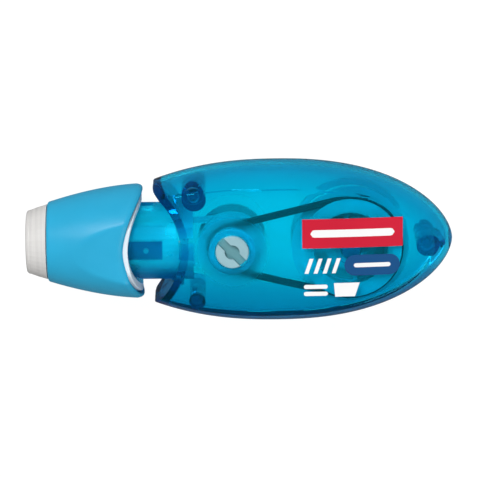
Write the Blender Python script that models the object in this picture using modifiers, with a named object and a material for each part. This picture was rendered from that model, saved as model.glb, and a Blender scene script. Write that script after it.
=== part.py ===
"""Twist-action correction tape roller, lying on its flat back.

Frame: metres, +Z up. The neck, nose and sleeve share one axis along X, at height AXIS_Z.
-X is the nose, where the tape comes out, and +X is the tail. Z = 0 is the flat back of the case.
"""

import math

import bmesh
import bpy
from mathutils import Matrix, Vector

MM = 0.001

# Overall size and the shared axis
AXIS_Z = 11.2 * MM
TAIL_X = 50.1 * MM
NOSE_X = -49.6 * MM
MID_GAP = 0.1 * MM

# Case: a turned outline, flat at the back and gently crowned at the front
WALL = 1.4 * MM
CASE_WIDEST_X = 9.0 * MM
CASE_RADIUS = 18.9 * MM
CASE_JAW_X = -20.2 * MM
CASE_JAW_DROP = 4.65 * MM
CASE_JAW_POWER = 2.35
CASE_TAIL_POWER = 2.3
CASE_TAIL_ROOT = 0.58
CROWN_X = 13.0 * MM
CROWN_RADIUS = 215.0 * MM
CROWN_TOP = 22.4 * MM

# Mouth of the case, a concave arc that the neck comes out of
MOUTH_DEEPEST_X = -13.5 * MM
MOUTH_RADIUS = 17.3 * MM
MOUTH_WALL = 2.0 * MM
JAW_ROUND = 1.5 * MM

# Thumb dimple in each face of the case
DIMPLE_X = -9.0 * MM
DIMPLE_HALF_LENGTH = 20.6 * MM
DIMPLE_HALF_WIDTH = 8.5 * MM
DIMPLE_DEPTH = 0.6 * MM
DIMPLE_BALL_HEIGHT = 3.0 * MM
DIMPLE_TILT = math.radians(4.0)

# Spools
SUPPLY_X = 26.0 * MM
TAKEUP_X = -1.5 * MM
SUPPLY_FLANGE_RADIUS = 13.7 * MM
TAKEUP_FLANGE_RADIUS = 7.8 * MM
FLANGE = 0.8 * MM
TAPE_WIDTH = 5.0 * MM
TAPE_LOW = AXIS_Z - TAPE_WIDTH / 2
TAPE_HIGH = AXIS_Z + TAPE_WIDTH / 2
SPOOL_LOW = TAPE_LOW - 1.2 * MM
SPOOL_HUB_TOP = TAPE_HIGH + 0.2 * MM
SUPPLY_ROLL_RADIUS = 12.3 * MM
TAKEUP_ROLL_RADIUS = 5.2 * MM
SUPPLY_POST_RADIUS = 2.2 * MM
SUPPLY_BORE = 2.4 * MM
HEAD_RADIUS = 3.85 * MM
HEAD_TOP = 22.0 * MM
HEAD_SLOT_HALF = 1.0 * MM
HEAD_SLOT_DEPTH = 1.3 * MM
HEAD_SLOT_TURN = math.radians(-46)
HEAD_EYE_RADIUS = 1.75 * MM

# Belt drive from the supply spool to the take-up spool
BELT_ON_SUPPLY = 11.65 * MM
BELT_ON_TAKEUP = 5.25 * MM
BELT_THICKNESS = 1.3 * MM
BELT_SEAT_GAP = 0.05 * MM
BELT_LOW = 17.15 * MM
BELT_HIGH = 18.75 * MM
PULLEY_BACK_LOW = 16.2 * MM
PULLEY_BACK_HIGH = 17.0 * MM
PULLEY_LIP_LOW = 18.95 * MM
PULLEY_LIP_HIGH = 19.25 * MM

# Neck and applicator
NECK_RADIUS = 9.04 * MM
NECK_BORE = 7.9 * MM
NECK_FRONT_X = -31.0 * MM
NECK_BACK_X = -10.5 * MM
NECK_FLAT = 7.4 * MM
TIP_CENTRE_X = -47.3 * MM
TIP_ROUND = 0.6 * MM
BLADE_ROOT_X = -31.0 * MM
BLADE_ROOT_HALF = 3.6 * MM

# Nose guard and twist sleeve
GUARD_RADIUS = 9.9 * MM
GUARD_BORE = 9.3 * MM
GUARD_BACK_X = -26.6 * MM
SLEEVE_FRONT_X = -44.6 * MM
SLEEVE_BACK_X = -22.6 * MM
SLEEVE_RADIUS = 13.45 * MM
SLEEVE_DROP = 4.15 * MM
SLEEVE_POWER = 1.68
SLEEVE_WALL = 0.9 * MM
SLEEVE_FLAT = 11.2 * MM
SLEEVE_FLAT_WALL = 0.6 * MM
SADDLE_DEEPEST_X = -26.85 * MM
SADDLE_RADIUS = 18.0 * MM
SADDLE_ROUND = 1.4 * MM
LINING_PROUD = 1.2 * MM
LINING_RADIUS = 11.7 * MM
LINING_BORE = 10.05 * MM

# Case bosses: x, y and radius of each screwless locating pin
BOSSES = {
    "upper": (-10.2 * MM, 12.3 * MM, 2.8 * MM),
    "lower": (-9.7 * MM, -12.3 * MM, 1.9 * MM),
    "tail": (43.8 * MM, 0.0, 3.3 * MM),
}
PIN_RADIUS = 1.15 * MM
PIN_HOLE = 1.35 * MM

STEPS = 40


def clear_scene():
    for obj in list(bpy.data.objects):
        bpy.data.objects.remove(obj, do_unlink=True)


def new_collection(name):
    collection = bpy.data.collections.new(name)
    bpy.context.scene.collection.children.link(collection)
    return collection


def plastic(name, colour, roughness=0.35, alpha=1.0):
    material = bpy.data.materials.new(name)
    material.use_nodes = True
    material.diffuse_color = (*colour, 1.0)
    shader = material.node_tree.nodes["Principled BSDF"]
    shader.inputs["Base Color"].default_value = (*colour, 1.0)
    shader.inputs["Roughness"].default_value = roughness
    shader.inputs["Metallic"].default_value = 0.0
    shader.inputs["Alpha"].default_value = alpha
    return material


clear_scene()
PARTS = new_collection("correction_tape_roller")
CUTTERS = new_collection("cutters")


def as_cutter(obj):
    """Hides a helper from the build and draws it as a wire."""
    obj.hide_render = True
    obj.display_type = "WIRE"
    CUTTERS.objects.link(obj)
    return obj


def as_part(obj, material):
    """Puts a finished piece in the object's collection with its material."""
    PARTS.objects.link(obj)
    obj.data.materials.clear()
    obj.data.materials.append(material)
    obj.data.shade_smooth()
    obj.data.set_sharp_from_angle(angle=math.radians(35))
    return obj


def turned(name, profile, axis="Z", centre=(0.0, 0.0, 0.0), steps=STEPS):
    """A body of revolution. profile runs down the outer side as (radius, height) pairs.

    A profile that starts and ends at radius 0 is solid; any other is closed into a ring.
    """
    count = len(profile)
    ring = profile[0][0] > 0
    edges = [(i, i + 1) for i in range(count - 1)]
    if ring:
        edges.append((count - 1, 0))
    mesh = bpy.data.meshes.new(name)
    mesh.from_pydata([(radius, 0.0, height) for radius, height in profile], edges, [])
    obj = bpy.data.objects.new(name, mesh)
    screw = obj.modifiers.new("turn", "SCREW")
    screw.axis = "Z"
    screw.steps = steps
    screw.render_steps = steps
    screw.use_merge_vertices = True
    screw.merge_threshold = 0.00001
    obj.location = centre
    if axis == "X":
        obj.rotation_euler = (0.0, math.radians(90), 0.0)
    return obj


def rod(name, radius, low, high, centre=(0.0, 0.0), steps=24):
    """An upright cylinder between two heights."""
    mesh = bpy.data.meshes.new(name)
    shape = bmesh.new()
    place = Matrix.Translation(Vector((centre[0], centre[1], (low + high) / 2)))
    bmesh.ops.create_cone(
        shape,
        cap_ends=True,
        segments=steps,
        radius1=radius,
        radius2=radius,
        depth=high - low,
        matrix=place,
    )
    shape.to_mesh(mesh)
    shape.free()
    return bpy.data.objects.new(name, mesh)


def box(name, low, high):
    mesh = bpy.data.meshes.new(name)
    shape = bmesh.new()
    low, high = Vector(low), Vector(high)
    size = Matrix.Diagonal((*(high - low), 1.0))
    bmesh.ops.create_cube(shape, size=1.0, matrix=Matrix.Translation((low + high) / 2) @ size)
    shape.to_mesh(mesh)
    shape.free()
    return bpy.data.objects.new(name, mesh)


def extruded(name, loops, low, high, plane="XY"):
    """A flat outline, with holes where one loop lies in another, given a thickness.

    In plane XY the outline stands up along Z. In plane XZ it is drawn in side view and
    low and high are places along Y.
    """
    curve = bpy.data.curves.new(name, "CURVE")
    curve.dimensions = "2D"
    curve.fill_mode = "BOTH"
    curve.extrude = (high - low) / 2
    for loop in loops:
        spline = curve.splines.new("POLY")
        spline.points.add(len(loop) - 1)
        for point, (across, up) in zip(spline.points, loop):
            point.co = (across, up, 0.0, 1.0)
        spline.use_cyclic_u = True
    guide = bpy.data.objects.new(name + "_guide", curve)
    if plane == "XZ":
        guide.rotation_euler = (math.radians(90), 0.0, 0.0)
        guide.location = (0.0, (low + high) / 2, 0.0)
    else:
        guide.location = (0.0, 0.0, (low + high) / 2)
    bpy.context.scene.collection.objects.link(guide)
    bpy.context.view_layer.update()
    evaluated = guide.evaluated_get(bpy.context.evaluated_depsgraph_get())
    mesh = bpy.data.meshes.new_from_object(evaluated)
    shape = bmesh.new()
    shape.from_mesh(mesh)
    bmesh.ops.remove_doubles(shape, verts=shape.verts, dist=0.000001)
    shape.to_mesh(mesh)
    shape.free()
    obj = bpy.data.objects.new(name, mesh)
    obj.matrix_world = guide.matrix_world.copy()
    bpy.data.objects.remove(guide, do_unlink=True)
    return obj


def combine(obj, other, operation):
    modifier = obj.modifiers.new(operation.lower(), "BOOLEAN")
    modifier.operation = operation
    modifier.solver = "EXACT"
    modifier.object = other


def cut(obj, *others):
    for other in others:
        combine(obj, other, "DIFFERENCE")


def join(obj, *others):
    for other in others:
        combine(obj, other, "UNION")


def keep_inside(obj, *others):
    for other in others:
        combine(obj, other, "INTERSECT")


def arc(centre, radius, start, end, count):
    """Points along an arc, both ends included."""
    points = []
    for i in range(count + 1):
        angle = start + (end - start) * i / count
        points.append((centre[0] + radius * math.cos(angle), centre[1] + radius * math.sin(angle)))
    return points


def tangent_point(centre_x, radius, point, side):
    """Where a line from a point touches a circle on the X axis; side is +1 above, -1 below."""
    away = Vector((point[0] - centre_x, point[1]))
    angle = math.atan2(away.y, away.x) - side * math.acos(radius / away.length)
    return (centre_x + radius * math.cos(angle), radius * math.sin(angle))


def offset_outline(points, distance):
    """Moves an (x, radius) outline towards the axis by distance, square to itself."""
    moved = []
    last = len(points) - 1
    for i, (x, radius) in enumerate(points):
        before = points[max(i - 1, 0)]
        after = points[min(i + 1, last)]
        along = Vector((after[0] - before[0], after[1] - before[1])).normalized()
        if radius == 0.0:
            moved.append((x - distance, 0.0))
        else:
            moved.append((x + along.y * distance, radius - along.x * distance))
    return moved


# --- Outlines -------------------------------------------------------------------------


def case_radius(x):
    if x < CASE_WIDEST_X:
        share = (CASE_WIDEST_X - x) / (CASE_WIDEST_X - CASE_JAW_X)
        return CASE_RADIUS - CASE_JAW_DROP * share**CASE_JAW_POWER
    share = (x - CASE_WIDEST_X) / (TAIL_X - CASE_WIDEST_X)
    return CASE_RADIUS * max(1.0 - share**CASE_TAIL_POWER, 0.0) ** CASE_TAIL_ROOT


def case_outline(along=16):
    """(x, radius) from the jaws to the tail, closer together where the tail rounds off."""
    start = CASE_JAW_X - 2.0 * MM
    points = []
    for i in range(along + 1):
        x = start + (TAIL_X - start) * math.sin(0.5 * math.pi * i / along)
        points.append((x, case_radius(x)))
    points[-1] = (TAIL_X, 0.0)
    return points


def sleeve_radius(x):
    share = (SLEEVE_BACK_X - x) / (SLEEVE_BACK_X - SLEEVE_FRONT_X)
    return SLEEVE_RADIUS - SLEEVE_DROP * max(share, 0.0) ** SLEEVE_POWER


def sleeve_outline(front, back, count=7):
    points = []
    for i in range(count + 1):
        x = front + (back - front) * i / count
        points.append((x, sleeve_radius(x)))
    return points


def from_axis(outline):
    """Turns (x, radius) points into a Screw profile about X, starting at the +X end."""
    return [(radius, x) for x, radius in reversed(outline)]


def closed_on_axis(outline):
    profile = from_axis(outline)
    if profile[0][0] > 0:
        profile.insert(0, (0.0, profile[0][1]))
    if profile[-1][0] > 0:
        profile.append((0.0, profile[-1][1]))
    return profile


def crown_height(x, drop=0.0):
    """Height of the crowned front, or of a surface that lies a drop under it."""
    radius = CROWN_RADIUS - drop
    return CROWN_TOP - CROWN_RADIUS + math.sqrt(radius**2 - (x - CROWN_X) ** 2)


def side_view(low, drop, count=12):
    """Side outline between a flat bottom and the crowned front."""
    start = CASE_JAW_X - 4.0 * MM
    end = TAIL_X + 2.0 * MM
    top = []
    for i in range(count + 1):
        x = end + (start - end) * i / count
        top.append((x, crown_height(x, drop)))
    return [(start, low), (end, low)] + top


def concave_plan(centre_x, radius, round_radius, silhouette, side, far_x, count=14):
    """Plan outline of a body whose end is a concave arc with rounded lobe tips.

    side is +1 when the body lies on the +X side of the arc, and -1 on the -X side.
    """
    low, high = 0.0, radius
    reach = radius + round_radius
    for _ in range(60):
        lobe_y = (low + high) / 2
        lobe_x = centre_x + side * math.sqrt(max(reach**2 - lobe_y**2, 0.0))
        if lobe_y + round_radius * 1.05 < silhouette(lobe_x):
            low = lobe_y
        else:
            high = lobe_y
    turn = math.atan2(lobe_y, side * (lobe_x - centre_x))
    upper = []
    for i in range(count + 1):
        angle = -turn + 2 * turn * i / count
        upper.append((centre_x + side * radius * math.cos(angle), radius * math.sin(angle)))
    tip = []
    for i in range(1, 5):
        angle = turn + math.pi - (turn + math.pi - math.radians(98)) * i / 4
        x = lobe_x + side * round_radius * math.cos(angle)
        tip.append((x, lobe_y + round_radius * math.sin(angle)))
    wide = 30.0 * MM
    above = (tip[-1][0], wide)
    below = (tip[-1][0], -wide)
    lower_tip = [(x, -y) for x, y in reversed(tip)]
    return lower_tip + upper + tip + [above, (far_x, wide), (far_x, -wide), below]


# --- Case -----------------------------------------------------------------------------

MOUTH_CENTRE_X = MOUTH_DEEPEST_X - MOUTH_RADIUS
SADDLE_CENTRE_X = SADDLE_DEEPEST_X + SADDLE_RADIUS
TOOL_LOW = -5.0 * MM
TOOL_HIGH = 30.0 * MM
ACROSS = 25.0 * MM


def case_plan():
    outline = concave_plan(
        MOUTH_CENTRE_X, MOUTH_RADIUS, JAW_ROUND, case_radius, 1, TAIL_X + 5.0 * MM
    )
    return extruded("case_plan", [outline], TOOL_LOW, TOOL_HIGH)


def dimple(name, drop, front):
    """Ellipsoid that dents one face; drop lowers it for the inside of the wall."""
    mesh = bpy.data.meshes.new(name)
    shape = bmesh.new()
    bmesh.ops.create_uvsphere(shape, u_segments=28, v_segments=14, radius=1.0)
    shape.to_mesh(mesh)
    shape.free()
    obj = bpy.data.objects.new(name, mesh)
    rise = DIMPLE_BALL_HEIGHT - DIMPLE_DEPTH
    spread = 1.0 / math.sqrt(1.0 - (rise / DIMPLE_BALL_HEIGHT) ** 2)
    obj.scale = (DIMPLE_HALF_LENGTH * spread, DIMPLE_HALF_WIDTH * spread, DIMPLE_BALL_HEIGHT)
    if front:
        obj.location = (DIMPLE_X, 0.0, crown_height(DIMPLE_X) + rise - drop)
        obj.rotation_euler = (0.0, -DIMPLE_TILT, 0.0)
    else:
        obj.location = (DIMPLE_X, 0.0, drop - rise)
    return as_cutter(obj)


def boss(name, place, low, high, rib_to, limit):
    """A boss with a rib to the nearest wall, trimmed to end inside the wall."""
    x, y, radius = place
    obj = rod(name, radius, low, high, (x, y), steps=20)
    rib_half = 0.6 * MM
    if rib_to == "tail":
        rib = box(name + "_rib", (x, -rib_half, low), (TAIL_X, rib_half, high))
    else:
        far = math.copysign(20.0 * MM, y)
        rib = box(name + "_rib", (x - rib_half, min(y, far), low), (x + rib_half, max(y, far), high))
    join(obj, as_cutter(rib))
    keep_inside(obj, limit)
    return as_cutter(obj)


def build_case(material):
    slab = as_cutter(extruded("case_slab", [side_view(0.0, 0.0)], -ACROSS, ACROSS, "XZ"))
    plan = as_cutter(case_plan())
    mid_wall = WALL / 2
    mid_outline = offset_outline(case_outline(), mid_wall)
    limit = as_cutter(turned("mid_wall", closed_on_axis(mid_outline), "X", (0, 0, AXIS_Z)))
    keep_inside(
        limit,
        as_cutter(extruded("mid_wall_slab", [side_view(mid_wall, mid_wall)], -ACROSS, ACROSS, "XZ")),
    )

    inner_outline = offset_outline(case_outline(), WALL)
    cavity = as_cutter(turned("case_cavity", closed_on_axis(inner_outline), "X", (0, 0, AXIS_Z)))
    inner_slab = as_cutter(extruded("cavity_slab", [side_view(WALL, WALL)], -ACROSS, ACROSS, "XZ"))
    keep_inside(cavity, inner_slab)
    mouth = as_cutter(
        rod("mouth_wall", MOUTH_RADIUS + MOUTH_WALL, TOOL_LOW, TOOL_HIGH, (MOUTH_CENTRE_X, 0.0), 64)
    )
    cut(cavity, mouth, dimple("front_dimple_inside", WALL, True), dimple("back_dimple_inside", WALL, False))

    neck_hole = as_cutter(
        turned(
            "neck_hole",
            [(0.0, -8.0 * MM), (9.2 * MM, -8.0 * MM), (9.2 * MM, -30.0 * MM), (0.0, -30.0 * MM)],
            "X",
            (0, 0, AXIS_Z),
        )
    )
    keep_inside(
        neck_hole,
        as_cutter(
            box(
                "neck_hole_flats",
                (-40.0 * MM, -ACROSS, AXIS_Z - NECK_FLAT - 0.15 * MM),
                (0.0, ACROSS, AXIS_Z + NECK_FLAT + 0.15 * MM),
            )
        ),
    )

    shells = {}
    for name, low, high in (
        ("front_shell", AXIS_Z + MID_GAP / 2, TOOL_HIGH),
        ("back_shell", TOOL_LOW, AXIS_Z - MID_GAP / 2),
    ):
        shell = turned(name, closed_on_axis(case_outline()), "X", (0, 0, AXIS_Z))
        half = as_cutter(box(name + "_half", (-60.0 * MM, -ACROSS, low), (60.0 * MM, ACROSS, high)))
        keep_inside(shell, half, slab, plan)
        cut(shell, dimple(name + "_dimple", 0.0, name == "front_shell"), cavity)
        shells[name] = shell
    front, back = shells["front_shell"], shells["back_shell"]

    for where, place in BOSSES.items():
        rib_to = "tail" if where == "tail" else "side"
        front_boss = boss(f"front_boss_{where}", place, AXIS_Z + MID_GAP, TOOL_HIGH, rib_to, limit)
        back_boss = boss(f"back_boss_{where}", place, TOOL_LOW, AXIS_Z - MID_GAP, rib_to, limit)
        join(front, front_boss)
        join(back, back_boss)
        x, y, _ = place
        hole = rod(f"pin_hole_{where}", PIN_HOLE, AXIS_Z - 1.0 * MM, 17.0 * MM, (x, y), 16)
        pin = rod(f"pin_{where}", PIN_RADIUS, 8.0 * MM, 16.0 * MM, (x, y), 16)
        cut(front, as_cutter(hole))
        join(back, as_cutter(pin))

    supply = (SUPPLY_X, 0.0)
    takeup = (TAKEUP_X, 0.0)
    low = WALL / 2
    post_top = 20.1 * MM
    shoulder = SPOOL_LOW - 0.2 * MM
    join(
        back,
        as_cutter(rod("supply_shoulder", 3.4 * MM, low, shoulder, supply)),
        as_cutter(rod("supply_post", SUPPLY_POST_RADIUS, low, post_top, supply)),
        as_cutter(rod("takeup_shoulder", 3.0 * MM, low, shoulder, takeup)),
        as_cutter(rod("takeup_post", 1.5 * MM, low, 12.0 * MM, takeup)),
    )
    socket = as_cutter(rod("supply_socket", 3.5 * MM, 19.55 * MM, 21.2 * MM, supply))
    join(front, socket)
    cut(front, as_cutter(rod("supply_socket_hole", 2.35 * MM, 19.0 * MM, 20.7 * MM, supply)))

    bezel = as_cutter(rod("window_bezel", 5.5 * MM, 19.6 * MM, 21.9 * MM, takeup, 36))
    join(front, bezel)
    cut(front, as_cutter(rod("window_hole", 4.1 * MM, 18.0 * MM, TOOL_HIGH, takeup, 36)))

    for shell in (front, back):
        cut(shell, neck_hole)
        as_part(shell, material)


# --- Neck and applicator --------------------------------------------------------------


def build_neck(material):
    lip = 7.1 * MM
    chamfer = 0.5 * MM
    front_wall = NECK_FRONT_X + 1.2 * MM
    profile = [
        (NECK_RADIUS, NECK_BACK_X),
        (NECK_RADIUS, NECK_FRONT_X + chamfer),
        (NECK_RADIUS - chamfer, NECK_FRONT_X),
        (lip, NECK_FRONT_X),
        (lip, front_wall),
        (NECK_BORE, front_wall),
        (NECK_BORE, NECK_BACK_X),
    ]
    neck = turned("neck_barrel", profile, "X", (0, 0, AXIS_Z))

    collar_back = -12.9 * MM
    collar_front = -16.8 * MM
    collar = turned(
        "neck_collar",
        [
            (10.4 * MM, collar_back),
            (10.4 * MM, collar_front),
            (8.4 * MM, collar_front),
            (8.4 * MM, collar_back),
        ],
        "X",
        (0, 0, AXIS_Z),
    )
    arc_radius = MOUTH_RADIUS + MOUTH_WALL + 0.1 * MM
    cut(collar, as_cutter(rod("collar_arc", arc_radius, TOOL_LOW, TOOL_HIGH, (MOUTH_CENTRE_X, 0.0), 64)))
    join(neck, as_cutter(collar))

    outside_mouth = as_cutter(
        rod("outside_mouth", MOUTH_RADIUS - 0.3 * MM, TOOL_LOW, TOOL_HIGH, (MOUTH_CENTRE_X, 0.0), 64)
    )
    for side, low, high in (
        ("front", AXIS_Z + NECK_FLAT, TOOL_HIGH),
        ("back", TOOL_LOW, AXIS_Z - NECK_FLAT),
    ):
        flat = box(f"neck_{side}_flat", (-25.0 * MM, -ACROSS, low), (0.0, ACROSS, high))
        cut(flat, outside_mouth)
        cut(neck, as_cutter(flat))

    # Guide pocket with its small pip, and the cam groove that runs down from it, on each face
    for side, facing in (("front", 1), ("back", -1)):
        floor = AXIS_Z + facing * 8.45 * MM
        far = AXIS_Z + facing * 12.0 * MM
        pocket = box(
            f"neck_{side}_pocket",
            (-25.0 * MM, -2.25 * MM, min(floor, far)),
            (-17.7 * MM, 2.25 * MM, max(floor, far)),
        )
        cut(neck, as_cutter(pocket))
        pip_top = AXIS_Z + facing * 8.85 * MM
        root = AXIS_Z + facing * 8.2 * MM
        pip_place = (-21.5 * MM, 0.0)
        pip = rod(f"neck_{side}_pip", 0.7 * MM, min(root, pip_top), max(root, pip_top), pip_place, 16)
        join(neck, as_cutter(pip))
    groove = turned(
        "neck_cam_groove",
        [(9.6 * MM, -23.3 * MM), (9.6 * MM, -25.0 * MM), (8.6 * MM, -25.0 * MM), (8.6 * MM, -23.3 * MM)],
        "X",
        (0, 0, AXIS_Z),
    )
    outside = 12.0 * MM
    meet = 0.001 * MM
    quarters = box(
        "groove_front_quarter",
        (-26.0 * MM, -outside, AXIS_Z),
        (-22.0 * MM, 0.0, AXIS_Z + outside),
    )
    opposite = box(
        "groove_back_quarter",
        (-26.0 * MM, -meet, AXIS_Z - outside),
        (-22.0 * MM, outside, AXIS_Z + meet),
    )
    join(quarters, as_cutter(opposite))
    keep_inside(groove, as_cutter(quarters))
    cut(neck, as_cutter(groove))

    # Key slots for the nose guard's lugs, one on each side
    slots = box(
        "neck_key_slots",
        (-29.0 * MM, -ACROSS, AXIS_Z - 1.5 * MM),
        (-19.8 * MM, ACROSS, AXIS_Z + 1.5 * MM),
    )
    cut(neck, as_cutter(slots))
    as_part(neck, material)


def build_tip_carrier(material):
    low, high = -29.6 * MM, -27.6 * MM
    plug = turned(
        "tip_carrier",
        [(0.0, high), (7.7 * MM, high), (7.7 * MM, low), (0.0, low)],
        "X",
        (0, 0, AXIS_Z),
    )
    for side, near, far in (("upper", 3.5 * MM, 5.7 * MM), ("lower", -5.7 * MM, -3.5 * MM)):
        window = box(
            f"ribbon_window_{side}",
            (low - MM, near, AXIS_Z - 3.0 * MM),
            (high + MM, far, AXIS_Z + 3.0 * MM),
        )
        cut(plug, as_cutter(window))
    tang_hole = box(
        "tang_hole",
        (low - MM, -1.8 * MM, AXIS_Z - 2.4 * MM),
        (high + MM, 1.8 * MM, AXIS_Z + 2.4 * MM),
    )
    cut(plug, as_cutter(tang_hole))
    as_part(plug, material)


def blade_outline(grow, tip_x, tip_round, root_x):
    """Wedge seen from the front: a rounded edge that widens towards the neck."""
    slope = math.atan2(BLADE_ROOT_HALF - TIP_ROUND, BLADE_ROOT_X - TIP_CENTRE_X)
    start = math.radians(90) + slope
    edge = arc((tip_x, 0.0), tip_round, start, 2 * math.pi - start, 8)
    root = BLADE_ROOT_HALF + grow
    return edge + [(root_x, -root), (root_x, root)]


def build_applicator_tip(material):
    root_x = -30.0 * MM
    blade_half = 2.8 * MM
    cheek_half = 3.4 * MM
    tip = extruded(
        "applicator_tip",
        [blade_outline(0.0, TIP_CENTRE_X, TIP_ROUND, root_x)],
        AXIS_Z - blade_half,
        AXIS_Z + blade_half,
    )
    cheek = blade_outline(0.7 * MM, -45.4 * MM, 1.35 * MM, root_x)
    for side, low, high in (
        ("front", blade_half - 0.05 * MM, cheek_half),
        ("back", -cheek_half, 0.05 * MM - blade_half),
    ):
        join(tip, as_cutter(extruded(f"cheek_{side}", [cheek], AXIS_Z + low, AXIS_Z + high)))
    tang = box(
        "tip_tang",
        (root_x - 0.5 * MM, -1.6 * MM, AXIS_Z - 2.2 * MM),
        (-26.0 * MM, 1.6 * MM, AXIS_Z + 2.2 * MM),
    )
    join(tip, as_cutter(tang))
    as_part(tip, material)


# --- Nose guard and twist sleeve ------------------------------------------------------


def build_nose_guard(material, parent):
    nose_round = 0.8 * MM
    groove_front = SLEEVE_FRONT_X - 0.2 * MM
    groove_back = SLEEVE_FRONT_X + 1.4 * MM
    groove = 7.85 * MM
    wall_back = NOSE_X + 1.4 * MM
    outer = [
        (GUARD_BACK_X, GUARD_RADIUS),
        (-39.1 * MM, GUARD_RADIUS),
        (-41.6 * MM, 9.1 * MM),
        (groove_back, 8.45 * MM),
        (groove_back, groove),
        (groove_front, groove),
        (groove_front, 8.8 * MM),
        (NOSE_X + 2.5 * MM, 8.1 * MM),
        (NOSE_X + 1.0 * MM, 7.55 * MM),
    ]
    corner = arc((NOSE_X + nose_round, 6.7 * MM), nose_round, math.radians(75), math.radians(180), 4)
    inner = [
        (NOSE_X, 4.0 * MM),
        (wall_back, 4.0 * MM),
        (wall_back, 6.4 * MM),
        (-44.2 * MM, 6.9 * MM),
        (-41.9 * MM, 7.5 * MM),
        (-38.4 * MM, GUARD_BORE),
        (GUARD_BACK_X, GUARD_BORE),
    ]
    profile = [(radius, x) for x, radius in outer + corner + inner]
    guard = turned("nose_guard", profile, "X", (0, 0, AXIS_Z))
    mouth = box(
        "nose_mouth",
        (NOSE_X - MM, -3.8 * MM, AXIS_Z - 4.2 * MM),
        (wall_back + 0.7 * MM, 3.8 * MM, AXIS_Z + 4.2 * MM),
    )
    cut(guard, as_cutter(mouth))
    for side, low, high in (
        ("upper", 8.2 * MM, GUARD_BORE + 0.3 * MM),
        ("lower", -GUARD_BORE - 0.3 * MM, -8.2 * MM),
    ):
        lug = box(
            f"guard_lug_{side}",
            (-28.5 * MM, low, AXIS_Z - 1.2 * MM),
            (-26.9 * MM, high, AXIS_Z + 1.2 * MM),
        )
        join(guard, as_cutter(lug))
    guard.parent = parent
    as_part(guard, material)


def flats(name, half):
    return as_cutter(
        box(name, (-60.0 * MM, -ACROSS, AXIS_Z - half), (0.0, ACROSS, AXIS_Z + half))
    )


def saddle_plan(name, shift, silhouette, round_radius):
    outline = concave_plan(
        SADDLE_CENTRE_X + shift, SADDLE_RADIUS, round_radius, silhouette, -1, -60.0 * MM
    )
    return as_cutter(extruded(name, [outline], TOOL_LOW, TOOL_HIGH))


def build_sleeve(material, parent):
    lip_back = SLEEVE_FRONT_X + 1.2 * MM
    lip_bore = 8.05 * MM
    back = SLEEVE_BACK_X + 1.0 * MM
    edge = 0.3 * MM
    outer = sleeve_outline(SLEEVE_FRONT_X + edge, back)
    outer.insert(0, (SLEEVE_FRONT_X, sleeve_radius(SLEEVE_FRONT_X) - edge))
    sleeve = turned("twist_sleeve", closed_on_axis(outer), "X", (0, 0, AXIS_Z))
    inner = [(x, radius - SLEEVE_WALL) for x, radius in sleeve_outline(lip_back, back + MM)]
    hollow = as_cutter(turned("sleeve_hollow", closed_on_axis(inner), "X", (0, 0, AXIS_Z)))
    keep_inside(hollow, flats("sleeve_inner_flats", SLEEVE_FLAT - SLEEVE_FLAT_WALL))
    keep_inside(
        sleeve,
        flats("sleeve_flats", SLEEVE_FLAT),
        saddle_plan("sleeve_saddle", 0.0, sleeve_radius, SADDLE_ROUND),
    )
    lip = turned(
        "sleeve_lip_bore",
        [(0.0, lip_back + MM), (lip_bore, lip_back + MM), (lip_bore, NOSE_X), (0.0, NOSE_X)],
        "X",
        (0, 0, AXIS_Z),
    )
    cut(sleeve, hollow, as_cutter(lip))
    sleeve.parent = parent
    as_part(sleeve, material)


def build_lining(material, parent):
    front = -36.6 * MM
    shoulder = -33.5 * MM
    outer = [
        (front, 10.45 * MM),
        (shoulder, 11.2 * MM),
        (-30.0 * MM, LINING_RADIUS),
        (-20.0 * MM, LINING_RADIUS),
    ]
    lining = turned("sleeve_lining", closed_on_axis(outer), "X", (0, 0, AXIS_Z))
    keep_inside(
        lining,
        flats("lining_flats", SLEEVE_FLAT - SLEEVE_FLAT_WALL - 0.1 * MM),
        saddle_plan("lining_saddle", LINING_PROUD, lambda x: LINING_RADIUS, 0.4 * MM),
    )
    bore = turned(
        "lining_bore",
        [(0.0, -15.0 * MM), (LINING_BORE, -15.0 * MM), (LINING_BORE, -40.0 * MM), (0.0, -40.0 * MM)],
        "X",
        (0, 0, AXIS_Z),
    )
    cut(lining, as_cutter(bore))
    lining.parent = parent
    as_part(lining, material)


# --- Spools, tape and belt ------------------------------------------------------------


def ring(name, inner, outer, low, high, centre, steps=STEPS):
    return turned(
        name,
        [(outer, high), (outer, low), (inner, low), (inner, high)],
        "Z",
        (centre, 0.0, 0.0),
        steps,
    )


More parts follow.
